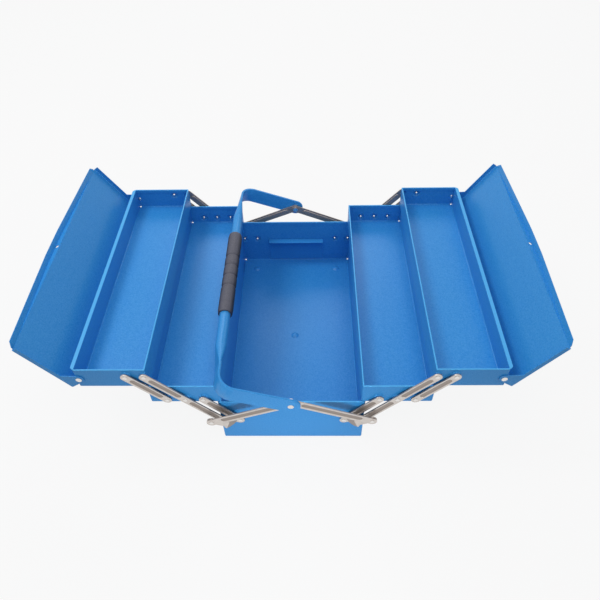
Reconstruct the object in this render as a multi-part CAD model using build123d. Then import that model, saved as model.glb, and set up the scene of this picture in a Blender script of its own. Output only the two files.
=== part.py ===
from build123d import *
import math
import os

# Cantilever tool box in folded sheet steel: a deep bin, two lower trays, two upper trays
# with hinged lids, and pressed steel arms that lift the trays out to both sides.
# Millimetres. X to the right, Y to the back, Z up, origin at the bottom centre of the bin.
# The box stands open, as far as its arms go, with both lids swung back.

# ---- sheet metal ----------------------------------------------------------------------
SHEET = 1.0             # bin, tray and lid sheet
BODY_LENGTH = 400.0     # bin and trays, over their end walls
BEND_R = 3.0            # outside radius of the folded bottom edges
CORNER_R = 1.6          # outside radius of the upright corners
HEM_DEPTH = 6.0         # hem folded inward along the rims
HEM_GAP = 0.1           # air inside a flattened hem
HEM_FOLD = 0.3          # metal that closes that air at the rim
RIM_R = 0.8             # outside radius of the folded rim
LEAST_BEND = 0.2        # least inside radius of a fold
RELIEF_R = 1.5          # relief holes at the floor's corners
RELIEF_INSET = 2.1      # their centres, in from both walls
STACK_GAP = 0.3         # between a rim and the tray standing on it

# ---- bin ------------------------------------------------------------------------------
BIN_WIDTH = 208.0
BIN_HEIGHT = 95.7
DIMPLE_R = 6.5          # dimples pressed up in the bin's floor
DIMPLE_HEIGHT = 2.6
DIMPLE_SIDE_INSET = 26.5    # dimples in from the bin's sides
DIMPLE_END_INSET = 29.0     # and from its ends
DOUBLER_PIVOT_GAP = 23.1    # plate spot-welded inside each end wall, from the inner pivots
DOUBLER_TOP = 54.0
DOUBLER_LEDGE = 12.0

# ---- trays ----------------------------------------------------------------------------
TRAY_DEPTH = 37.7
LOWER_CENTRE_GAP = 4.2  # from the centre line to the lower tray, box closed
LOWER_SIDE_INSET = 1.0  # its outer side in from the bin's side, box closed
UPPER_CENTRE_GAP = 3.6
UPPER_SIDE_INSET = 4.6
LIP_WIDTH = 4.0         # lip turned outward along the upper tray's outer rim
LIP_CHAMFER = 3.0

# ---- linkage --------------------------------------------------------------------------
ARM_RISE = 52.7         # from one pivot of an arm up to the next, box open or closed
PIVOT_SPACING = 25.0    # between the two pivots of one tray
BIN_PIVOT_INSET = 3.9   # outer pivot in from the bin's side
TRAY_PIVOT_HEIGHT = 11.2    # pivots over the lower tray's bottom
ARM_END_GAP = 0.1       # from the centre line to the long arms' ends, box closed
ARM_WIDTH = 12.4
ARM_THICK = 1.8
CHANNEL_WIDTH = 7.0     # pressed channel along each arm
CHANNEL_DEPTH = 1.0
CHANNEL_FLARE = 0.6     # each sloping side of the channel
CHANNEL_SETBACK = 9.0   # pivot to the channel's round end
RUN_GAP = 0.2           # between two pressings that slide past each other
PIVOT_PLAY = 0.05       # radial, between a rivet and the hole it turns in

BOSS_R = 7.5            # boss pressed out behind each pivot
BOSS_TOP_R = 5.0
BOSS_HEIGHT = 2.3
BOSS_THINNING = 0.6     # share of the sheet left in the boss's sloping side

RIVET_R = 2.0
RIVET_HEAD_R = 3.1
RIVET_HEAD = 1.3
UPSET_R = 2.9           # rivet end spread inside the wall
UPSET_PROUD = 1.6       # how far it stands into the box
UPSET_GAP = 0.1         # between it and the bend of a side wall
HEAD_DOME = 0.65        # share of a head's height that is domed
LID_RIVET_HEAD_R = 4.0
LID_RIVET_HEAD = 1.7

# ---- crank tail and handle link ---------------------------------------------------------
TAIL_RUN = 39.2         # from the crank's bin pivot to the handle link's pivot, sideways
TAIL_RISE = 13.4        # and up
TAIL_LAYER = 8.4        # how far the tail is joggled out from the arms
JOGGLE_START = 5.0      # along the tail
JOGGLE_END = 18.0
LOBE_R = 8.5            # rounded web below the joggle
LOBE_ALONG = 14.0
LOBE_DOWN = 3.0
LINK_WIDTH = 13.7
HANDLE_RISE = 47.56     # from the crank's tail up to the handle's pivot
LINK_SETBACK = 16.0     # pivot to the channel's round end, clear of the pieces it crosses
LINK_GAP = 0.3          # between the stacked links at the handle
LINK_END_PLAY = 3.0     # slotted eye of the left link, radial

# ---- handle -----------------------------------------------------------------------------
HANDLE_PIN_R = 2.5
HANDLE_PIN_HEAD_R = 4.25
HANDLE_PIN_HEAD = 1.5
HANDLE_PIN_FOOT = 3.0
STRAP_WIDTH = 27.0
STRAP_THICK = 3.0
HANDLE_REACH = 105.0    # pivot to the middle of the bar
HANDLE_LEAN = 19.6      # degrees over level, leaning left
BAIL_BEND_R = 24.0      # outside radius of the bail's corners
BAR_R = 8.0
FLAT_RUN = 16.0         # flat strap past each corner
ROUNDING_RUN = 36.0     # length over which the strap becomes round tube
FULL_ROUND = 0.98       # corner radius of a section, as a share of the largest that fits
GRIP_LENGTH = 177.0
GRIP_OFFSET = 5.0       # grip's middle, back from the bar's middle
GRIP_R = 11.3
GRIP_PLAY = 0.1
GRIP_SHOULDER = 7.0     # tapered ends
GRIP_SHOULDER_R = 10.4
FINGER_PITCH = 22.5
FINGER_COUNT = 4        # notches between the finger rests
FINGER_DEPTH = 1.8
FINGER_EASE = 4.5       # rounded run from a notch up to full size

# ---- lids -------------------------------------------------------------------------------
LID_HINGE_INSET = 3.7   # hinge in from the tray's outer face
LID_HINGE_DROP = 19.5   # hinge below the tray's rim
LID_SLOPE = 11.0        # degrees, closed
LID_OPENING = 112.0     # degrees, closed to open
LID_OFFSET = 22.3       # hinge to the panel's outer face
LID_EAVE = 7.5          # hinge to the eave wall's outer face
EAVE_DEPTH = 12.7
LID_EDGE_INSET = 7.3    # crease at the free edge, in from the tray's inner side
LID_BEND_R = 2.5
LID_END_GAP = 0.4       # between a tray's end wall and the lid's flange
FLANGE_DEPTH = 8.0
EAR_R = 7.2
EAR_REACH = 19.0        # where the flange widens into the ear
RIDGE_WIDTH = 9.6       # level strip along the free edge
RIDGE_CUT = 6.0         # its chamfered corners
RIDGE_HEIGHT = 8.5      # raised middle of the strip
RIDGE_TOP = 28.0        # half length of its level top
RIDGE_END = 10.0        # from the body's end to the foot of its slope
LOCK_HOLE_R = 2.75
LOCK_HOLE_HEIGHT = 4.5

# ---- worked out from the sizes above ----------------------------------------------------
HALF_LENGTH = BODY_LENGTH / 2
BIN_HALF = BIN_WIDTH / 2
LOWER_TRAY_WIDTH = BIN_HALF - LOWER_CENTRE_GAP - LOWER_SIDE_INSET
UPPER_TRAY_WIDTH = BIN_HALF - UPPER_CENTRE_GAP - UPPER_SIDE_INSET
LID_PANEL = UPPER_TRAY_WIDTH - LID_EDGE_INSET
RIDGE_FOOT = HALF_LENGTH - RIDGE_END

# Closed, a long arm's upper end stops short of the centre line. That sets how far one
# pivot is sideways from the next.
ARM_RUN = (BIN_HALF - BIN_PIVOT_INSET - ARM_WIDTH / 2 - ARM_END_GAP) / 2
LOWER_Z = BIN_HEIGHT + STACK_GAP
UPPER_Z = LOWER_Z + TRAY_DEPTH + STACK_GAP
LOWER_IN = LOWER_CENTRE_GAP + 2 * ARM_RUN
UPPER_IN = UPPER_CENTRE_GAP + 4 * ARM_RUN
UPPER_OUT = UPPER_IN + UPPER_TRAY_WIDTH

# Pivots of the right half, (x, z). Arms run from the bin up and outward.
BIN_PIVOT_Z = LOWER_Z + TRAY_PIVOT_HEIGHT - ARM_RISE
LONG_BIN = (BIN_HALF - BIN_PIVOT_INSET, BIN_PIVOT_Z)
LONG_LOWER = (LONG_BIN[0] + ARM_RUN, LONG_BIN[1] + ARM_RISE)
LONG_UPPER = (LONG_LOWER[0] + ARM_RUN, LONG_LOWER[1] + ARM_RISE)
CRANK_BIN = (LONG_BIN[0] - PIVOT_SPACING, LONG_BIN[1])
CRANK_LOWER = (CRANK_BIN[0] + ARM_RUN, CRANK_BIN[1] + ARM_RISE)
CRANK_TAIL = (CRANK_BIN[0] + TAIL_RUN, CRANK_BIN[1] + TAIL_RISE)
SHORT_LOWER = (LONG_LOWER[0] + PIVOT_SPACING, LONG_LOWER[1])
SHORT_UPPER = (SHORT_LOWER[0] + ARM_RUN, SHORT_LOWER[1] + ARM_RISE)
HANDLE_PIVOT = (0.0, CRANK_TAIL[1] + HANDLE_RISE)
LID_HINGE = (UPPER_OUT - LID_HINGE_INSET, UPPER_Z + TRAY_DEPTH - LID_HINGE_DROP)

# Layers outside the front end wall, as distances in front of the middle of the box.
ARM_IN = HALF_LENGTH + BOSS_HEIGHT + RUN_GAP
ARM_OUT = ARM_IN + ARM_THICK
BOSS_SEAT = HALF_LENGTH + BOSS_HEIGHT - SHEET   # floor of the hollow behind a boss
RIGHT_TAIL_IN = ARM_IN + TAIL_LAYER
RIGHT_LINK_IN = RIGHT_TAIL_IN + ARM_THICK + LINK_GAP
LEFT_LINK_IN = RIGHT_LINK_IN + ARM_THICK + LINK_GAP
LEFT_TAIL_IN = LEFT_LINK_IN - ARM_THICK - LINK_GAP
STRAP_IN = LEFT_LINK_IN + ARM_THICK + LINK_GAP
STRAP_OUT = STRAP_IN + STRAP_THICK
STRAP_MID = STRAP_IN + STRAP_THICK / 2
LID_END_IN = HALF_LENGTH + LID_END_GAP
LID_END_OUT = LID_END_IN + SHEET


# ---- helpers ----------------------------------------------------------------------------
def front_plane(distance):
    """Upright plane that faces forward, this far in front of the middle of the box."""
    return Plane.XZ.offset(distance)


def front_plate(outline, start, thickness):
    """Flat pressing: an (x, z) outline, from start outward by its thickness."""
    return extrude(front_plane(start) * outline, amount=thickness)


def front_pin(centre, radius, start, end):
    """Round pin or hole along Y at an (x, z) point."""
    return front_plate(Pos(*centre) * Circle(radius), start, end - start)


def to_back(shape):
    return mirror(shape, about=Plane.XZ)


def to_left(shape):
    return mirror(shape, about=Plane.YZ)


def keep_side(shape):
    return shape


def between(p, q):
    """Middle, length and angle of the line from p to q."""
    across = q[0] - p[0]
    up = q[1] - p[1]
    middle = ((p[0] + q[0]) / 2, (p[1] + q[1]) / 2)
    return middle, math.hypot(across, up), math.degrees(math.atan2(up, across))


def bar_outline(p, q, width, setback=0.0):
    """Straight bar with round ends, centred on p and q less a setback."""
    middle, length, angle = between(p, q)
    return Pos(*middle) * Rot(0, 0, angle) * SlotCenterToCenter(length - 2 * setback, width)


def channel(p, q, setback, face, narrow_first):
    """Tapered body of a pressed channel between pivots p and q, outward from face."""
    inner = bar_outline(p, q, CHANNEL_WIDTH, setback + CHANNEL_WIDTH / 2)
    outer = bar_outline(p, q, CHANNEL_WIDTH + 2 * CHANNEL_FLARE, setback + CHANNEL_WIDTH / 2)
    sides = (inner, outer) if narrow_first else (outer, inner)
    start = front_plane(face) * sides[0]
    end = front_plane(face + CHANNEL_DEPTH) * sides[1]
    return loft([start, end], ruled=True)


def press_channel(plate, p, q, setback, start):
    """Press a channel into a flat bar: a groove outside and its ridge inside."""
    plate += channel(p, q, setback, start - CHANNEL_DEPTH, True)
    plate -= channel(p, q, setback, start + ARM_THICK - CHANNEL_DEPTH, True)
    return plate


def pressed_bar(pivots, width, start, hole_radii, setback=CHANNEL_SETBACK):
    """Arm through a row of pivots with a channel between each pair."""
    arm = front_plate(bar_outline(pivots[0], pivots[-1], width), start, ARM_THICK)
    for p, q in zip(pivots, pivots[1:]):
        arm = press_channel(arm, p, q, setback, start)
    for centre, radius in zip(pivots, hole_radii):
        arm -= front_pin(centre, radius, start - CHANNEL_DEPTH, start + ARM_THICK)
    return arm


def rivet(centre, outer_face, seat, head_radius=RIVET_HEAD_R, head=RIVET_HEAD, room=None):
    """Rivet through an end wall: domed head past outer_face, end upset inside at seat.

    Beside a side wall the upset end spreads only within the room that is left."""
    shank = front_pin(centre, RIVET_R, seat, outer_face + RUN_GAP / 2)
    upset = to_back(domed_head(centre, UPSET_R, -seat, seat - HALF_LENGTH + SHEET + UPSET_PROUD))
    if room is not None:
        upset &= room
    return shank + domed_head(centre, head_radius, outer_face + RUN_GAP / 2, head) + upset


def domed_head(centre, radius, face, height):
    """Low domed rivet head standing outward from face."""
    dome = min(height * HEAD_DOME, radius)
    ball_r = (radius ** 2 + dome ** 2) / (2 * dome)
    disc = Cylinder(radius, height, align=(Align.CENTER, Align.CENTER, Align.MIN))
    head = disc & (Pos(0, 0, height - ball_r) * Sphere(ball_r))
    return Pos(centre[0], -face, centre[1]) * Rot(90, 0, 0) * head


# ---- folded sheet bodies ------------------------------------------------------------------
def open_box(x_in, x_out, z_low, height):
    """Folded open box with bent bottom edges and relief holes at the floor's corners."""
    width = x_out - x_in
    middle = (x_in + x_out) / 2
    place = Pos(middle, 0, z_low)
    bottom = (Align.CENTER, Align.CENTER, Align.MIN)
    outer = Box(width, BODY_LENGTH, height, align=bottom)
    outer = fillet(outer.edges().filter_by(Axis.Z), CORNER_R)
    outer = fillet(outer.faces().sort_by(Axis.Z)[0].edges(), BEND_R)
    inner = Box(width - 2 * SHEET, BODY_LENGTH - 2 * SHEET, height, align=bottom)
    inner = fillet(inner.edges().filter_by(Axis.Z), max(CORNER_R - SHEET, LEAST_BEND))
    inner = fillet(inner.faces().sort_by(Axis.Z)[0].edges(), max(BEND_R - SHEET, LEAST_BEND))
    shell = outer - Pos(0, 0, SHEET) * inner
    for sx in (-1, 1):
        for sy in (-1, 1):
            corner = (sx * (width / 2 - RELIEF_INSET), sy * (HALF_LENGTH - RELIEF_INSET), 0)
            shell -= Pos(*corner) * Cylinder(RELIEF_R, 4 * BEND_R)
    return place * shell


def round_rim(shell, plain_x=None):
    """Round the folded rim, the topmost level face, but not its edge along plain_x."""
    rim = shell.faces().filter_by(Axis.Z).sort_by(Axis.Z)[-1]
    edges = rim.edges()
    if plain_x is not None:
        edges = [e for e in edges if abs(e.center().X - plain_x) > SHEET / 4]
    return fillet(edges, RIM_R)


def rim_hems(x_in, x_out, z_rim, sides):
    """Hems folded inward under the rims: both end walls, and the side walls named."""
    hem = None
    depth = HEM_DEPTH
    middle = (x_in + x_out) / 2
    for sy in (-1, 1):
        y = sy * (HALF_LENGTH - SHEET - HEM_GAP - SHEET / 2)
        strip = Pos(middle, y, z_rim - depth / 2) * Box(x_out - x_in - 2 * SHEET, SHEET, depth)
        fold = Pos(middle, y + sy * SHEET / 2, z_rim - SHEET / 2)
        strip += fold * Box(x_out - x_in - 2 * SHEET, HEM_FOLD, SHEET)
        hem = strip if hem is None else hem + strip
    for x_wall, inward in sides:
        x = x_wall + inward * (SHEET + HEM_GAP + SHEET / 2)
        strip = Pos(x, 0, z_rim - depth / 2) * Box(SHEET, BODY_LENGTH - 2 * SHEET, depth)
        fold = Pos(x - inward * SHEET / 2, 0, z_rim - SHEET / 2)
        strip += fold * Box(HEM_FOLD, BODY_LENGTH - 2 * SHEET, SHEET)
        hem += strip
    return hem


def pivot_boss():
    """Boss pressed out of an end wall round a pivot, and the hollow behind it."""
    upward = (Align.CENTER, Align.CENTER, Align.MIN)
    outside = Cone(BOSS_R, BOSS_TOP_R, BOSS_HEIGHT, align=upward)
    taper = SHEET * BOSS_THINNING
    hollow = Cone(BOSS_R - taper, BOSS_TOP_R - taper, BOSS_HEIGHT, align=upward)
    return outside, Pos(0, 0, -SHEET) * hollow


def press_bosses(shell, centres, x_in, x_out):
    """Press a boss with a rivet hole at each (x, z) point of both end walls.

    A boss next to a corner runs out at the side wall."""
    outside, hollow = pivot_boss()
    reach = 2 * (HALF_LENGTH + BOSS_HEIGHT)
    for centre in centres:
        for facing, y in ((90, -HALF_LENGTH), (-90, HALF_LENGTH)):
            seat = Pos(centre[0], y, centre[1]) * Rot(facing, 0, 0)
            within = Box(x_out - x_in, reach, 4 * BOSS_R)
            shell += (seat * outside) & (Pos((x_in + x_out) / 2, 0, centre[1]) * within)
            inside = Box(x_out - x_in - 2 * SHEET, reach, 4 * BOSS_R)
            shell -= (seat * hollow) & (Pos((x_in + x_out) / 2, 0, centre[1]) * inside)
        shell -= through_hole(centre)
    return shell


def through_hole(centre):
    """Rivet hole through both end walls."""
    hole = Cylinder(RIVET_R, 2 * (HALF_LENGTH + BOSS_HEIGHT + SHEET))
    return Pos(centre[0], 0, centre[1]) * Rot(90, 0, 0) * hole


# ---- bin ------------------------------------------------------------------------------------
def base_bin():
    shell = open_box(-BIN_HALF, BIN_HALF, 0, BIN_HEIGHT)
    shell += rim_hems(-BIN_HALF, BIN_HALF, BIN_HEIGHT, ((-BIN_HALF, 1), (BIN_HALF, -1)))
    shell = round_rim(shell)
    pivots = (LONG_BIN, CRANK_BIN)
    shell = press_bosses(shell, pivots + tuple((-x, z) for x, z in pivots),
                         -BIN_HALF, BIN_HALF)
    far_x = BIN_HALF - DIMPLE_SIDE_INSET
    far_y = HALF_LENGTH - DIMPLE_END_INSET
    spots = [(sx * far_x, sy * far_y) for sx in (-1, 1) for sy in (-1, 1)] + [(0, 0)]
    for x, y in spots:
        shell += Pos(x, y, SHEET) * floor_dimple(DIMPLE_R)
        shell -= Pos(x, y, 0) * floor_dimple(DIMPLE_R - SHEET / 2)
    return shell


def floor_dimple(radius):
    """Round cap of a sphere, as high as a floor dimple."""
    ball_r = (radius ** 2 + DIMPLE_HEIGHT ** 2) / (2 * DIMPLE_HEIGHT)
    ball = Pos(0, 0, DIMPLE_HEIGHT - ball_r) * Sphere(ball_r)
    keep = Box(2 * radius, 2 * radius, DIMPLE_HEIGHT,
               align=(Align.CENTER, Align.CENTER, Align.MIN))
    return ball & keep


def base_doubler():
    """Plate spot-welded inside the front end wall, its top bent in to a ledge."""
    wall = HALF_LENGTH - SHEET
    low = BEND_R
    section = Polyline((-wall, low), (-wall, DOUBLER_TOP), (DOUBLER_LEDGE - wall, DOUBLER_TOP),
                       (DOUBLER_LEDGE - wall, DOUBLER_TOP - SHEET),
                       (SHEET - wall, DOUBLER_TOP - SHEET), (SHEET - wall, low), close=True)
    half = CRANK_BIN[0] - DOUBLER_PIVOT_GAP
    plate = extrude(Plane.YZ * make_face(section), amount=half, both=True)
    bend = plate.edges().filter_by(Axis.X).sort_by_distance((0, -wall, DOUBLER_TOP))[0]
    return fillet(bend, SHEET)


# ---- trays ----------------------------------------------------------------------------------
def lower_tray():
    x_out = LOWER_IN + LOWER_TRAY_WIDTH
    z_rim = LOWER_Z + TRAY_DEPTH
    shell = open_box(LOWER_IN, x_out, LOWER_Z, TRAY_DEPTH)
    shell += rim_hems(LOWER_IN, x_out, z_rim, ((LOWER_IN, 1), (x_out, -1)))
    shell = round_rim(shell)
    return press_bosses(shell, (LONG_LOWER, CRANK_LOWER, SHORT_LOWER), LOWER_IN, x_out)


def upper_tray():
    z_rim = UPPER_Z + TRAY_DEPTH
    shell = open_box(UPPER_IN, UPPER_OUT, UPPER_Z, TRAY_DEPTH)
    shell += rim_hems(UPPER_IN, UPPER_OUT, z_rim, ((UPPER_IN, 1),))
    shell = round_rim(shell, UPPER_OUT - SHEET)
    lip = Pos(UPPER_OUT - SHEET, 0, z_rim - SHEET) * Box(
        LIP_WIDTH + SHEET, BODY_LENGTH - 2 * CORNER_R, SHEET,
        align=(Align.MIN, Align.CENTER, Align.MIN))
    lip = chamfer(lip.edges().filter_by(Axis.Z).group_by(Axis.X)[-1], LIP_CHAMFER)
    shell += lip
    shell = press_bosses(shell, (LONG_UPPER, SHORT_UPPER), UPPER_IN, UPPER_OUT)
    return shell - through_hole(LID_HINGE)


# ---- lids -----------------------------------------------------------------------------------
def lid_shell():
    """Lid in its own frame: hinge at the origin, panel level along -X, outside up."""
    outside = lid_block(LID_EAVE, LID_END_OUT, LID_OFFSET, CORNER_R, LID_BEND_R)
    inside = lid_block(LID_EAVE - SHEET, LID_END_IN, LID_OFFSET - SHEET, CORNER_R - SHEET,
                       LID_BEND_R - SHEET)
    shell = outside - inside
    edge = LID_OFFSET - EAVE_DEPTH
    below = Box(4 * LID_PANEL, 4 * LID_END_OUT, LID_OFFSET,
                align=(Align.CENTER, Align.CENTER, Align.MAX))
    shell -= Pos(0, 0, edge) * below
    ear, trim = lid_ear()
    for turn in (keep_side, to_back):
        shell -= turn(trim)
        shell += turn(ear)
    return shell


def lid_block(x_eave, y_end, z_top, corner_r, bend_r):
    """Block with rounded eave corners and rounded top edges, open-ended at the ridge."""
    block = Box(LID_PANEL + x_eave, 2 * y_end, z_top, align=(Align.MAX, Align.CENTER, Align.MIN))
    block = Pos(x_eave, 0, 0) * block
    block = fillet(block.edges().filter_by(Axis.Z).group_by(Axis.X)[-1], corner_r)
    rim = block.faces().sort_by(Axis.Z)[-1].edges().sort_by(Axis.X)[1:]
    return fillet(rim, bend_r)


def lid_ear():
    """Front hinge ear with its pivot hole, and what is trimmed off below the flange."""
    low = LID_OFFSET - FLANGE_DEPTH
    edge = LID_OFFSET - EAVE_DEPTH
    reach = math.hypot(EAR_REACH, low)
    lean = math.atan2(low, -EAR_REACH) + math.acos(EAR_R / reach)
    touch = (EAR_R * math.cos(lean), EAR_R * math.sin(lean))
    tuck = math.acos((LID_EAVE - CORNER_R) / math.hypot(LID_EAVE - CORNER_R, edge))
    turn = tuck - math.acos(EAR_R / math.hypot(LID_EAVE - CORNER_R, edge))
    start = (EAR_R * math.cos(turn), EAR_R * math.sin(turn))
    outline = Polyline(start, (LID_EAVE - CORNER_R, edge), (LID_EAVE - CORNER_R, low),
                       (-EAR_REACH, low), touch)
    bottom = ThreePointArc(touch, (0, -EAR_R), start)
    ear = front_plate(make_face(outline + bottom), LID_END_IN, SHEET)
    ear -= front_pin((0, 0), RIVET_R + PIVOT_PLAY, LID_END_IN, LID_END_OUT)
    past = -2 * LID_PANEL
    corner = Polyline((past, low), (-LID_PANEL, low), (-EAR_REACH, low), touch, (past, touch[1]),
                      close=True)
    trim = front_plate(make_face(corner), LID_END_IN - SHEET, 3 * SHEET)
    return ear, trim


def lid_ridge():
    """Level strip along the free edge, raised in the middle, with its upright band."""
    ends = HALF_LENGTH - LID_BEND_R
    top = [(-ends, 0), (-RIDGE_FOOT, 0), (-RIDGE_TOP, RIDGE_HEIGHT), (RIDGE_TOP, RIDGE_HEIGHT),
           (RIDGE_FOOT, 0), (ends, 0)]
    under = [(y, z - SHEET) for y, z in reversed(top)]
    strip = extrude(Plane.YZ * make_face(Polyline(*top, *under, close=True)), amount=RIDGE_WIDTH)
    corners = [e for e in strip.edges().filter_by(Axis.Z)
               if e.center().X < RIDGE_WIDTH / 2]
    strip = chamfer(corners, RIDGE_CUT)
    band_top = top[1:5]
    band = make_face(Polyline(*band_top, (RIDGE_FOOT, -SHEET), (-RIDGE_FOOT, -SHEET), close=True))
    wall = Pos(RIDGE_WIDTH - SHEET, 0, 0) * extrude(Plane.YZ * band, amount=SHEET)
    hole = Pos(RIDGE_WIDTH, 0, LOCK_HOLE_HEIGHT) * Rot(0, 90, 0) * Cylinder(LOCK_HOLE_R, 4 * SHEET)
    return strip + wall - hole


def closed_lid():
    """Right lid, closed, with its hinge at the origin."""
    tilt = Rot(0, LID_SLOPE, 0)
    crease = tilt * Pos(-LID_PANEL, 0, LID_OFFSET)
    ridge = Pos(crease.position.X - RIDGE_WIDTH + SHEET, 0, crease.position.Z) * lid_ridge()
    return tilt * lid_shell() + ridge


def open_lid():
    """Right lid swung open on its hinge."""
    return Pos(LID_HINGE[0], 0, LID_HINGE[1]) * Rot(0, LID_OPENING, 0) * closed_lid()


# ---- arms -----------------------------------------------------------------------------------
TURNING_HOLE = RIVET_R + PIVOT_PLAY


def long_arm():
    pivots = (LONG_BIN, LONG_LOWER, LONG_UPPER)
    return pressed_bar(pivots, ARM_WIDTH, ARM_IN, (TURNING_HOLE,) * 3)


def short_link():
    return pressed_bar((SHORT_LOWER, SHORT_UPPER), ARM_WIDTH, ARM_IN, (TURNING_HOLE,) * 2)


def crank_arm(tail_in):
    """Crank: an arm from bin to lower tray, its tail joggled out to the tail_in layer."""
    arm = pressed_bar((CRANK_BIN, CRANK_LOWER), ARM_WIDTH, ARM_IN, (TURNING_HOLE,) * 2)
    crank = arm + crank_tail(tail_in)
    for centre, start, end in ((CRANK_BIN, ARM_IN, ARM_OUT),
                               (CRANK_TAIL, tail_in, tail_in + ARM_THICK)):
        crank -= front_pin(centre, TURNING_HOLE, start, end)
    return crank


def crank_tail(tail_in):
    """Joggled tail: a bent strip cut to a rounded outline."""
    middle, length, angle = between(CRANK_BIN, CRANK_TAIL)
    half = LINK_WIDTH / 2
    side = [(-half, ARM_IN), (JOGGLE_START, ARM_IN), (JOGGLE_END, tail_in),
            (length + half, tail_in)]
    steep = math.atan2(tail_in - ARM_IN, JOGGLE_END - JOGGLE_START)
    ease = ARM_THICK * math.tan(steep / 2)
    outer = [(length + half, tail_in + ARM_THICK), (JOGGLE_END - ease, tail_in + ARM_THICK),
             (JOGGLE_START - ease, ARM_OUT), (-half, ARM_OUT)]
    strip = extrude(make_face(Polyline(*side, *outer, close=True)), amount=2 * LINK_WIDTH,
                    both=True)
    along = math.radians(angle)
    side_on = Plane((CRANK_BIN[0], 0, CRANK_BIN[1]), x_dir=(math.cos(along), 0, math.sin(along)),
                    z_dir=(math.sin(along), 0, -math.cos(along)))
    strip = side_on * strip
    outline = bar_outline(CRANK_BIN, CRANK_TAIL, ARM_WIDTH)
    outline += Pos(*CRANK_TAIL) * Circle(half)
    lobe = (CRANK_BIN[0] + LOBE_ALONG * math.cos(along) + LOBE_DOWN * math.sin(along),
            CRANK_BIN[1] + LOBE_ALONG * math.sin(along) - LOBE_DOWN * math.cos(along))
    outline += Pos(*lobe) * Circle(LOBE_R)
    blank = front_plate(outline, ARM_IN, tail_in + ARM_THICK - ARM_IN)
    return strip & blank


def handle_link(start, pin_hole):
    return pressed_bar((CRANK_TAIL, HANDLE_PIVOT), LINK_WIDTH, start, (TURNING_HOLE, pin_hole),
                       LINK_SETBACK)


def tail_rivet(tail_in, link_in):
    """Rivet that joins a crank tail to its handle link."""
    play = RUN_GAP / 2
    foot = front_pin(CRANK_TAIL, RIVET_HEAD_R, tail_in - play - RIVET_HEAD, tail_in - play)
    face = link_in + ARM_THICK + play
    shank = front_pin(CRANK_TAIL, RIVET_R, tail_in - play, face)
    return foot + shank + domed_head(CRANK_TAIL, RIVET_HEAD_R, face, RIVET_HEAD)


def handle_pin():
    """Rivet through both handle links and the bail's strap."""
    play = RUN_GAP / 2
    back = RIGHT_LINK_IN - play
    face = STRAP_OUT + play
    foot = front_pin(HANDLE_PIVOT, HANDLE_PIN_HEAD_R, back - HANDLE_PIN_FOOT, back)
    shank = front_pin(HANDLE_PIVOT, HANDLE_PIN_R, back, face)
    return foot + shank + domed_head(HANDLE_PIVOT, HANDLE_PIN_HEAD_R, face, HANDLE_PIN_HEAD)


# ---- handle ---------------------------------------------------------------------------------
def bail_half():
    """Front half of the bail in its own frame: pivot at the origin, leg along X."""
    bend = BAIL_BEND_R
    outer = HANDLE_REACH + STRAP_THICK / 2
    flat_end = STRAP_OUT - bend - FLAT_RUN
    side = Polyline((0, -STRAP_IN), (0, -STRAP_OUT), (outer - bend, -STRAP_OUT))
    side += ThreePointArc((outer - bend, -STRAP_OUT), bend_point(outer, bend, bend),
                          (outer, bend - STRAP_OUT))
    side += Polyline((outer, bend - STRAP_OUT), (outer, -flat_end),
                     (outer - STRAP_THICK, -flat_end), (outer - STRAP_THICK, bend - STRAP_OUT))
    side += ThreePointArc((outer - STRAP_THICK, bend - STRAP_OUT),
                          bend_point(outer, bend, bend - STRAP_THICK), (outer - bend, -STRAP_IN))
    side += Line((outer - bend, -STRAP_IN), (0, -STRAP_IN))
    strap = extrude(make_face(side), amount=STRAP_WIDTH / 2, both=True)
    eye = Pos(0, -STRAP_MID, 0) * Rot(90, 0, 0) * Cylinder(STRAP_WIDTH / 2, STRAP_THICK)
    return strap + eye + bar_transition(flat_end) + bar_middle(flat_end)


def bend_point(outer, bend, radius):
    """Middle point of a corner arc, this far from the corner's centre."""
    reach = radius * math.sqrt(0.5)
    return (outer - bend + reach, bend - STRAP_OUT - reach)


def bar_transition(flat_end):
    """Strap opening out to round tube along the bar."""
    corner = STRAP_THICK / 2 * FULL_ROUND
    flat = Plane((HANDLE_REACH, -flat_end, 0), x_dir=(0, 0, 1), z_dir=(0, 1, 0))
    round_end = Plane((HANDLE_REACH, ROUNDING_RUN - flat_end, 0), x_dir=(0, 0, 1),
                      z_dir=(0, 1, 0))
    sections = [flat * RectangleRounded(STRAP_WIDTH, STRAP_THICK, corner),
                round_end * RectangleRounded(2 * BAR_R, 2 * BAR_R, BAR_R * FULL_ROUND)]
    return loft(sections)


def bar_middle(flat_end):
    half = flat_end - ROUNDING_RUN
    return Pos(HANDLE_REACH, -half / 2, 0) * Rot(90, 0, 0) * Cylinder(BAR_R, half)


def place_handle(shape):
    """From the bail's own frame to its place, leaning left from the pivot."""
    return Pos(0, 0, HANDLE_PIVOT[1]) * Rot(0, HANDLE_LEAN - 180, 0) * shape


def handle_bail():
    half = bail_half()
    hole = Rot(90, 0, 0) * Cylinder(HANDLE_PIN_R + PIVOT_PLAY, 2 * (STRAP_OUT + SHEET))
    return place_handle(half + to_back(half) - hole)


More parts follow.
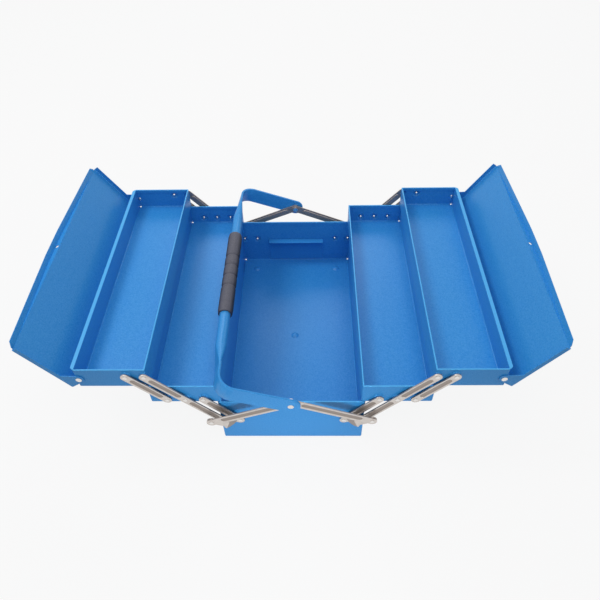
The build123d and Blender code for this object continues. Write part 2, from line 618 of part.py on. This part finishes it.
def handle_grip():
    """Moulded sleeve with shallow finger notches, round the bar."""
    half = GRIP_LENGTH / 2
    bore = BAR_R + GRIP_PLAY
    notches = [(i - (FINGER_COUNT - 1) / 2) * FINGER_PITCH for i in range(FINGER_COUNT)]
    profile = Polyline((GRIP_R, notches[-1] + FINGER_EASE), (GRIP_R, half - GRIP_SHOULDER),
                       (GRIP_SHOULDER_R, half), (bore, half), (bore, -half),
                       (GRIP_SHOULDER_R, -half), (GRIP_R, GRIP_SHOULDER - half),
                       (GRIP_R, notches[0] - FINGER_EASE))
    for y in notches:
        profile += notch_side(y, -1) + notch_side(y, 1)
    for y, following in zip(notches, notches[1:]):
        profile += Line((GRIP_R, y + FINGER_EASE), (GRIP_R, following - FINGER_EASE))
    grip = revolve(make_face(profile), Axis.Y)
    return place_handle(Pos(HANDLE_REACH, GRIP_OFFSET, 0) * grip)


def notch_side(y, way):
    """Rounded side of a finger notch at y, on the side that way points to."""
    return ThreePointArc((GRIP_R - FINGER_DEPTH, y),
                         (GRIP_R - FINGER_DEPTH / 4, y + way * FINGER_EASE / 2),
                         (GRIP_R, y + way * FINGER_EASE))


# ---- assembly -------------------------------------------------------------------------------
def both_ends(solids):
    """The given front pieces and their twins at the back."""
    return Compound(children=[s for part in solids for s in (part, to_back(part))])


def bin_rivets():
    right = [rivet(LONG_BIN, ARM_OUT, BOSS_SEAT), rivet(CRANK_BIN, ARM_OUT, BOSS_SEAT)]
    return both_ends(right + [to_left(r) for r in right])


def lower_rivets():
    pivots = (LONG_LOWER, CRANK_LOWER, SHORT_LOWER)
    return both_ends([rivet(p, ARM_OUT, BOSS_SEAT) for p in pivots])


def upper_rivets():
    corner = max(CORNER_R, SHEET + LEAST_BEND) + UPSET_GAP
    width = UPPER_TRAY_WIDTH - 2 * corner
    middle = (UPPER_IN + UPPER_OUT) / 2
    room = Pos(middle, 0, UPPER_Z + TRAY_DEPTH / 2) * Box(width, 2 * ARM_OUT, TRAY_DEPTH)
    arms = [rivet(p, ARM_OUT, BOSS_SEAT, room=room) for p in (LONG_UPPER, SHORT_UPPER)]
    wall = HALF_LENGTH - SHEET
    hinge = rivet(LID_HINGE, LID_END_OUT, wall, LID_RIVET_HEAD_R, LID_RIVET_HEAD, room)
    return both_ends(arms + [hinge])


def build_parts():
    parts = {
        "base_bin": base_bin(),
        "base_pivot_rivets": bin_rivets(),
        "handle_pivot_rivets": both_ends([handle_pin()]),
        "handle_bail": handle_bail(),
        "handle_grip": handle_grip(),
    }
    doubler = base_doubler()
    parts["base_doubler_front"] = doubler
    parts["base_doubler_rear"] = to_back(doubler)
    matched = {
        "lower_tray": lower_tray(),
        "upper_tray": upper_tray(),
        "lid": open_lid(),
        "lower_tray_rivets": lower_rivets(),
        "upper_tray_rivets": upper_rivets(),
        "long_arm_front": long_arm(),
        "short_link_front": short_link(),
    }
    matched["long_arm_rear"] = to_back(matched["long_arm_front"])
    matched["short_link_rear"] = to_back(matched["short_link_front"])
    for name, shape in matched.items():
        parts[f"{name}_right"] = shape
        parts[f"{name}_left"] = to_left(shape)
    layers = {
        "right": (RIGHT_TAIL_IN, RIGHT_LINK_IN, HANDLE_PIN_R + PIVOT_PLAY),
        "left": (LEFT_TAIL_IN, LEFT_LINK_IN, HANDLE_PIN_R + LINK_END_PLAY),
    }
    for side, (tail_in, link_in, pin_hole) in layers.items():
        turn = to_left if side == "left" else keep_side
        crank = turn(crank_arm(tail_in))
        link = turn(handle_link(link_in, pin_hole))
        parts[f"crank_rivets_{side}"] = turn(both_ends([tail_rivet(tail_in, link_in)]))
        parts[f"crank_arm_front_{side}"] = crank
        parts[f"crank_arm_rear_{side}"] = to_back(crank)
        parts[f"handle_link_front_{side}"] = link
        parts[f"handle_link_rear_{side}"] = to_back(link)
    return parts


os.makedirs("parts", exist_ok=True)
for node, shape in build_parts().items():
    export_step(shape, f"parts/{node}.step")
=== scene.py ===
import math

import bpy
from mathutils import Matrix, Vector


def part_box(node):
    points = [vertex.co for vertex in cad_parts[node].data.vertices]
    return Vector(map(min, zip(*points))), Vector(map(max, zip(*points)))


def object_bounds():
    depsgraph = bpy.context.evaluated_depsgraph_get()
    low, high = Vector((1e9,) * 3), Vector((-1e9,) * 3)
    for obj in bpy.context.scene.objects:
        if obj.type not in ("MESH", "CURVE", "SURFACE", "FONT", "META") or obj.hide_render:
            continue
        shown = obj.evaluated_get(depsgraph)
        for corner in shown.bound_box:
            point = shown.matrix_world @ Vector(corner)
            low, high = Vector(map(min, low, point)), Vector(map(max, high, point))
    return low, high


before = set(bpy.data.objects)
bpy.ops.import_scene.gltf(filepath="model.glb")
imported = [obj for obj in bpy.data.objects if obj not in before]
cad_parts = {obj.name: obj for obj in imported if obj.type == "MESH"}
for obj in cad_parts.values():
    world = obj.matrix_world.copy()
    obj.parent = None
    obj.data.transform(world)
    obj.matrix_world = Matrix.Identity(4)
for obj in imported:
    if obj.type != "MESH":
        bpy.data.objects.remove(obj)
cad_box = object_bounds()
mm = 0.001


# ---------------------------------------------------------------------------------------
# Camera. The box is seen from the front and well above, a little to the right of its
# middle, with a slight tilt. Lens and place are solved from the box's own edges.
camera_place = Vector((27.6 * mm, -636.3 * mm, 769.9 * mm))
camera_pitch = math.radians(46.8)
camera_yaw = math.radians(-1.57)
camera_roll = math.radians(1.41)
camera_lens = 33.76
sensor_width = 36

ahead = Vector((math.sin(camera_yaw) * math.cos(camera_pitch),
                math.cos(camera_yaw) * math.cos(camera_pitch), -math.sin(camera_pitch)))
sideways = Vector((math.cos(camera_yaw), -math.sin(camera_yaw), 0))
down = ahead.cross(sideways)
right = sideways * math.cos(camera_roll) + down * math.sin(camera_roll)
up = sideways * math.sin(camera_roll) - down * math.cos(camera_roll)

camera_data = bpy.data.cameras.new("camera")
camera_data.lens = camera_lens
camera_data.sensor_width = sensor_width
camera = bpy.data.objects.new("camera", camera_data)
camera.matrix_world = Matrix.Translation(camera_place) @ Matrix(
    (right, up, -ahead)).transposed().to_4x4()
bpy.context.scene.collection.objects.link(camera)
bpy.context.scene.camera = camera
bpy.context.scene.view_settings.view_transform = "Standard"


# ---------------------------------------------------------------------------------------
# Studio. A pale floor in an even white surround, lit by a key softbox from the left, one
# overhead, one behind the box and a low one in front that lifts the bin's front wall.
def linear(hex_colour):
    """sRGB hex colour as linear RGBA."""
    values = [int(hex_colour[i:i + 2], 16) / 255 for i in (1, 3, 5)]
    return [v / 12.92 if v <= 0.04045 else ((v + 0.055) / 1.055) ** 2.4 for v in values] + [1]


def node(tree, kind, links=(), **settings):
    """Add a node; settings set its own values or input sockets, links join sockets."""
    made = tree.nodes.new(kind)
    for name, value in settings.items():
        if hasattr(made, name):
            setattr(made, name, value)
        else:
            made.inputs[name.replace("_", " ")].default_value = value
    for target, source in links:
        tree.links.new(source, made.inputs[target])
    return made


def new_material(name):
    """Material with an empty node tree and its output."""
    made = bpy.data.materials.new(name)
    made.use_nodes = True
    made.node_tree.nodes.clear()
    return made, made.node_tree


def seen_directly(tree):
    """1 for what the camera sees itself, in a gloss or through glass, else 0."""
    path = node(tree, "ShaderNodeLightPath")
    seen = node(tree, "ShaderNodeMath", operation="MAXIMUM", links=[
        (0, path.outputs["Is Camera Ray"]), (1, path.outputs["Is Glossy Ray"])])
    seen = node(tree, "ShaderNodeMath", operation="MAXIMUM", links=[
        (0, seen.outputs[0]), (1, path.outputs["Is Transmission Ray"])])
    return seen.outputs[0]


floor_colour = linear("#bcbdbf")
floor_glow = 0.9            # how far the floor that is seen directly goes to plain white
floor_size = 12.0
floor_gap = 0.2 * mm        # below the box, so that the two faces don't flicker
surround_light = 0.48       # what the surround sheds on the box
white_colour = (1, 1, 1, 1)

floor_finish, tree = new_material("studio_floor")
diffuse = node(tree, "ShaderNodeBsdfDiffuse", Color=floor_colour)
white = node(tree, "ShaderNodeEmission", Color=white_colour, Strength=1.0)
glow = node(tree, "ShaderNodeMath", operation="MULTIPLY", links=[(0, seen_directly(tree))])
glow.inputs[1].default_value = floor_glow
mixed = node(tree, "ShaderNodeMixShader", links=[
    (0, glow.outputs[0]), (1, diffuse.outputs[0]), (2, white.outputs[0])])
node(tree, "ShaderNodeOutputMaterial", links=[("Surface", mixed.outputs[0])])

bpy.ops.mesh.primitive_plane_add(size=floor_size, location=(0, 0, cad_box[0].z - floor_gap))
floor = bpy.context.object
floor.name = "floor"
floor.data.materials.append(floor_finish)

world = bpy.data.worlds.new("surround")
bpy.context.scene.world = world
world.use_nodes = True
tree = world.node_tree
tree.nodes.clear()
surround = node(tree, "ShaderNodeBackground", Color=white_colour, Strength=surround_light)
backdrop = node(tree, "ShaderNodeBackground", Color=white_colour, Strength=1.0)
mixed = node(tree, "ShaderNodeMixShader", links=[
    (0, seen_directly(tree)), (1, surround.outputs[0]), (2, backdrop.outputs[0])])
node(tree, "ShaderNodeOutputWorld", links=[("Surface", mixed.outputs[0])])


def softbox(name, place, target, size, watts, spread=180, in_gloss=True):
    """Square area lamp that faces a target point, with its light kept within a cone."""
    lamp = bpy.data.lights.new(name, "AREA")
    lamp.size = size
    lamp.energy = watts
    lamp.spread = math.radians(spread)
    made = bpy.data.objects.new(name, lamp)
    made.location = place
    made.rotation_euler = (Vector(target) - Vector(place)).to_track_quat("-Z", "Y").to_euler()
    made.visible_glossy = in_gloss
    bpy.context.scene.collection.objects.link(made)


box_middle = (0, 0, 0.1)
bin_front = (0, -0.2, 0.02)
softbox("key_softbox", (-1.0, 0.3, 1.9), box_middle, size=0.6, watts=12)
softbox("overhead_softbox", (0.2, -0.7, 2.0), box_middle, size=0.9, watts=8)
softbox("back_softbox", (-0.1, 1.9, 1.5), box_middle, size=1.0, watts=9)
softbox("front_strip", (0, -0.9, 0.06), bin_front, size=0.25, watts=0.25, spread=45,
        in_gloss=False)


# ---------------------------------------------------------------------------------------
# Bin. Folded from 1 mm steel sheet and powder coated satin blue; its end walls carry the
# arm rivets on pressed bosses, with a stiffening plate spot-welded inside each.
# The coat's blue runs from deep to bright in small flecks, which are painted glints.
powder_blue = linear("#4198db")
powder_deep = linear("#2286d0")
powder_rim_highlight = linear("#4dabe8")     # painted highlight along the top of a folded rim
powder_roughness = 0.36
powder_specular = 0.3
painted_glint_size = 2.0 * mm               # painted glints of the coat, drawn as coarse as the render can show
glint_from, glint_to = 0.3, 0.7     # where the noise turns from deep to bright blue in the painted glints
peel_size = 1.6 * mm                # orange peel of the powder coat
grain_size = 0.5 * mm               # finer grain within the peel
peel_depth = 0.05 * mm
rim_highlight_band = 1.3 * mm                 # depth of the painted highlight line along a rim
sheet_edge = 0.3 * mm               # how far an edge of the coated sheet is rounded
sharp_angle = math.radians(40)      # least turn between two faces that counts as an edge
flat_angle = math.radians(0.5)      # most turn between triangles of one flat face
weld_distance = 0.002 * mm


def powder_coat(name, rim=None):
    """Polyester powder coat, sprayed dry and baked: a satin blue with fine orange peel and
    painted glints, and a lighter line down from a rim's height as a painted highlight."""
    made, tree = new_material(name)
    spot = node(tree, "ShaderNodeTexCoord").outputs["Object"]
    # Glints of the coat are painted into its colour as brighter blue flecks.
    glint_noise = node(tree, "ShaderNodeTexNoise", Scale=1 / painted_glint_size, Detail=2.0, Roughness=0.7,
                 links=[("Vector", spot)])
    painted_glint = node(tree, "ShaderNodeMapRange", From_Min=glint_from, From_Max=glint_to,
                 links=[("Value", glint_noise.outputs["Fac"])])
    colour = node(tree, "ShaderNodeMix", data_type="RGBA", A=powder_deep, B=powder_blue,
                  links=[("Factor", painted_glint.outputs[0])])
    if rim is not None:
        # A lighter line is painted down from the rim's height, as the highlight a rounded rim
        # catches.
        place = node(tree, "ShaderNodeSeparateXYZ", links=[("Vector", spot)])
        painted_rim_highlight = node(tree, "ShaderNodeMapRange", From_Min=rim - rim_highlight_band,
                    From_Max=rim - rim_highlight_band / 3, links=[("Value", place.outputs["Z"])])
        colour = node(tree, "ShaderNodeMix", data_type="RGBA", B=powder_rim_highlight, links=[
            ("Factor", painted_rim_highlight.outputs[0]), ("A", colour.outputs["Result"])])
    peel = node(tree, "ShaderNodeTexNoise", Scale=1 / peel_size, Detail=1.0,
                links=[("Vector", spot)])
    grain = node(tree, "ShaderNodeTexNoise", Scale=1 / grain_size, Detail=0.0,
                 links=[("Vector", spot)])
    relief = node(tree, "ShaderNodeMath", operation="ADD", links=[
        (0, peel.outputs["Fac"]), (1, grain.outputs["Fac"])])
    bump = node(tree, "ShaderNodeBump", Strength=0.25, Distance=peel_depth,
                links=[("Height", relief.outputs[0])])
    paint = node(tree, "ShaderNodeBsdfPrincipled", Roughness=powder_roughness, IOR=1.5,
                 Specular_IOR_Level=powder_specular, links=[
        ("Base Color", colour.outputs["Result"]), ("Normal", bump.outputs[0])])
    node(tree, "ShaderNodeOutputMaterial", links=[("Surface", paint.outputs[0])])
    return made


def dress(name, material, edge=0.0):
    """Give a CAD node its finish, and ease its sharp edges by a small bevel."""
    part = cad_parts[name]
    part.data.materials.clear()
    part.data.materials.append(material)
    if edge:
        weld = part.modifiers.new("weld", "WELD")
        weld.merge_threshold = weld_distance
        flat = part.modifiers.new("flat", "DECIMATE")
        flat.decimate_type = "DISSOLVE"
        flat.angle_limit = flat_angle
        ease = part.modifiers.new("ease", "BEVEL")
        ease.width = edge
        ease.segments = 2
        ease.limit_method = "ANGLE"
        ease.angle_limit = sharp_angle
        ease.harden_normals = True


bin_blue = powder_coat("blue_powder_coat_bin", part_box("base_bin")[1].z)
dress("base_bin", bin_blue, sheet_edge)
dress("base_doubler_front", bin_blue, sheet_edge)
dress("base_doubler_rear", bin_blue, sheet_edge)


# ---------------------------------------------------------------------------------------
# Trays. Four shallow boxes folded and coated like the bin; the upper ones have a lip
# turned outward along the side that carries the lid.
for level in ("lower", "upper"):
    tray_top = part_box(f"{level}_tray_left")[1].z
    tray_blue = powder_coat(f"blue_powder_coat_{level}_trays", tray_top)
    dress(f"{level}_tray_left", tray_blue, sheet_edge)
    dress(f"{level}_tray_right", tray_blue, sheet_edge)


# ---------------------------------------------------------------------------------------
# Lids. One pressed panel each, of the same coated sheet steel, folded down at the eave and
# the ends, where rivets hinge it. Its free edge rises in the middle to a ridge with a hole
# for a lock.
plain_blue = powder_coat("blue_powder_coat")
dress("lid_left", plain_blue, sheet_edge)
dress("lid_right", plain_blue, sheet_edge)


# ---------------------------------------------------------------------------------------
# Arms, cranks and handle links. Stamped from 1.8 mm steel strip with a pressed channel, then
# zinc plated: a bright, slightly warm grey with a soft sheen and faint rolling marks.
zinc_bright = linear("#e3dcd6")
zinc_dull = linear("#bfb7b1")
# painted shade: the colour of the channels and the backs of the strip
zinc_channel_shade = linear("#aaa099")
zinc_smooth, zinc_smeared = 0.24, 0.36      # roughness where the outer faces are rubbed
zinc_unrubbed = 0.6                         # and down in the channels and behind
channel_depth = 1.0 * mm
bright_within = 0.2 * channel_depth         # of an outer face
dull_beyond = 0.9 * channel_depth
cloud_size = 6.0 * mm                       # uneven plating
rolling_mark = 0.9 * mm
rolling_depth = 0.04 * mm
strip_edge = 0.25 * mm                      # rounding of the stamped edges


def outer_face(name):
    """How far the outermost face of a front node lies in front of the middle."""
    return -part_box(name)[0].y


def zinc_plate(name, faces):
    """Electroplated zinc, smoother on the outer faces given, where parts slide over it; the
    outer faces get painted light, and the channels and the backs get painted shade."""
    made, tree = new_material(name)
    spot = node(tree, "ShaderNodeTexCoord").outputs["Object"]
    cloud = node(tree, "ShaderNodeTexNoise", Scale=1 / cloud_size, Detail=3.0,
                 links=[("Vector", spot)])
    place = node(tree, "ShaderNodeSeparateXYZ", links=[("Vector", spot)])
    out = node(tree, "ShaderNodeMath", operation="ABSOLUTE", links=[(0, place.outputs["Y"])])
    outer_face_lit = None
    for face in faces:
        off = node(tree, "ShaderNodeMath", operation="SUBTRACT", links=[(0, out.outputs[0])])
        off.inputs[1].default_value = face
        away = node(tree, "ShaderNodeMath", operation="ABSOLUTE", links=[(0, off.outputs[0])])
        near = node(tree, "ShaderNodeMapRange", From_Min=dull_beyond, From_Max=bright_within,
                    links=[("Value", away.outputs[0])])
        if outer_face_lit:
            near = node(tree, "ShaderNodeMath", operation="MAXIMUM", links=[
                (0, outer_face_lit.outputs[0]), (1, near.outputs[0])])
        outer_face_lit = near
    # The outer faces keep the plating's colour as painted light; the channels and backs take
    # the darker channel colour as painted shade.
    plain = node(tree, "ShaderNodeMix", data_type="RGBA", A=zinc_dull, B=zinc_bright,
                 links=[("Factor", cloud.outputs["Fac"])])
    colour = node(tree, "ShaderNodeMix", data_type="RGBA", A=zinc_channel_shade, links=[
        ("Factor", outer_face_lit.outputs[0]), ("B", plain.outputs["Result"])])
    marks = node(tree, "ShaderNodeTexNoise", Scale=1 / rolling_mark, Detail=1.0,
                 links=[("Vector", spot)])
    bump = node(tree, "ShaderNodeBump", Strength=0.1, Distance=rolling_depth,
                links=[("Height", marks.outputs["Fac"])])
    sheen = node(tree, "ShaderNodeMapRange", To_Min=zinc_smooth, To_Max=zinc_smeared,
                 links=[("Value", cloud.outputs["Fac"])])
    rough = node(tree, "ShaderNodeMapRange", To_Min=zinc_unrubbed, links=[
        ("Value", outer_face_lit.outputs[0]), ("To Max", sheen.outputs[0])])
    metal = node(tree, "ShaderNodeBsdfPrincipled", Metallic=1.0, links=[
        ("Base Color", colour.outputs["Result"]), ("Roughness", rough.outputs[0]),
        ("Normal", bump.outputs[0])])
    node(tree, "ShaderNodeOutputMaterial", links=[("Surface", metal.outputs[0])])
    return made


arm_face = outer_face("long_arm_front_right")
arm_zinc = zinc_plate("zinc_plated_arms", [arm_face])
for side in ("left", "right"):
    tail_face = outer_face(f"crank_arm_front_{side}")
    link_face = outer_face(f"handle_link_front_{side}")
    crank_zinc = zinc_plate(f"zinc_plated_crank_{side}", [arm_face, tail_face])
    link_zinc = zinc_plate(f"zinc_plated_link_{side}", [link_face])
    for end in ("front", "rear"):
        dress(f"long_arm_{end}_{side}", arm_zinc, strip_edge)
        dress(f"short_link_{end}_{side}", arm_zinc, strip_edge)
        dress(f"crank_arm_{end}_{side}", crank_zinc, strip_edge)
        dress(f"handle_link_{end}_{side}", link_zinc, strip_edge)


# ---------------------------------------------------------------------------------------
# Rivets. Headed from bright steel wire: a domed head outside, and the other end spread by a
# blow inside the wall. The domes are smooth, and each catches a small sharp light.
rivet_colour = linear("#e4e1de")
rivet_smooth, rivet_scuffed = 0.18, 0.34    # roughness
scuff_size = 1.2 * mm

rivet_steel, tree = new_material("bright_rivet_steel")
spot = node(tree, "ShaderNodeTexCoord").outputs["Object"]
scuff = node(tree, "ShaderNodeTexNoise", Scale=1 / scuff_size, Detail=2.0,
             links=[("Vector", spot)])
rough = node(tree, "ShaderNodeMapRange", To_Min=rivet_smooth, To_Max=rivet_scuffed,
             links=[("Value", scuff.outputs["Fac"])])
metal = node(tree, "ShaderNodeBsdfPrincipled", Metallic=1.0, Base_Color=rivet_colour,
             links=[("Roughness", rough.outputs[0])])
node(tree, "ShaderNodeOutputMaterial", links=[("Surface", metal.outputs[0])])

rivet_groups = ["base_pivot_rivets", "handle_pivot_rivets"]
for side in ("left", "right"):
    rivet_groups += [f"lower_tray_rivets_{side}", f"upper_tray_rivets_{side}",
                     f"crank_rivets_{side}"]
for name in rivet_groups:
    dress(name, rivet_steel)


# ---------------------------------------------------------------------------------------
# Handle. A steel tube bent to a U, its ends flattened and its coat the blue of the trays,
# under a moulded rubber grip with finger rests: matt and speckled, with painted shade down its
# sides.
dress("handle_bail", plain_blue, sheet_edge)

rubber_dark = linear("#2b2c38")
rubber_grey = linear("#60616f")
rubber_side_shade = linear("#12131a")
rubber_roughness = 0.6
speckle_size = 1.4 * mm
speckle_depth = 0.12 * mm
side_from, side_to = 0.62, 0.95     # where the painted shade on the sides begins and is full, as a share of half the width
grip_low, grip_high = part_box("handle_grip")
grip_middle = (grip_high.x + grip_low.x) / 2
grip_half = (grip_high.x - grip_low.x) / 2

grip_rubber, tree = new_material("moulded_grip_rubber")
spot = node(tree, "ShaderNodeTexCoord").outputs["Object"]
speckle = node(tree, "ShaderNodeTexNoise", Scale=1 / speckle_size, Detail=2.0,
               links=[("Vector", spot)])
top = node(tree, "ShaderNodeMix", data_type="RGBA", A=rubber_dark, B=rubber_grey,
           links=[("Factor", speckle.outputs["Fac"])])
place = node(tree, "ShaderNodeSeparateXYZ", links=[("Vector", spot)])
across = node(tree, "ShaderNodeMath", operation="SUBTRACT", links=[(0, place.outputs["X"])])
across.inputs[1].default_value = grip_middle
aside = node(tree, "ShaderNodeMath", operation="ABSOLUTE", links=[(0, across.outputs[0])])
# The sides of the grip are darkened as painted shade, and the top is left lighter.
shade = node(tree, "ShaderNodeMapRange", From_Min=side_from * grip_half,
             From_Max=side_to * grip_half, links=[("Value", aside.outputs[0])])
colour = node(tree, "ShaderNodeMix", data_type="RGBA", B=rubber_side_shade, links=[
    ("Factor", shade.outputs[0]), ("A", top.outputs["Result"])])
bump = node(tree, "ShaderNodeBump", Strength=0.5, Distance=speckle_depth,
            links=[("Height", speckle.outputs["Fac"])])
rubber = node(tree, "ShaderNodeBsdfPrincipled", Roughness=rubber_roughness, links=[
    ("Base Color", colour.outputs["Result"]), ("Normal", bump.outputs[0])])
node(tree, "ShaderNodeOutputMaterial", links=[("Surface", rubber.outputs[0])])
dress("handle_grip", grip_rubber, sheet_edge)
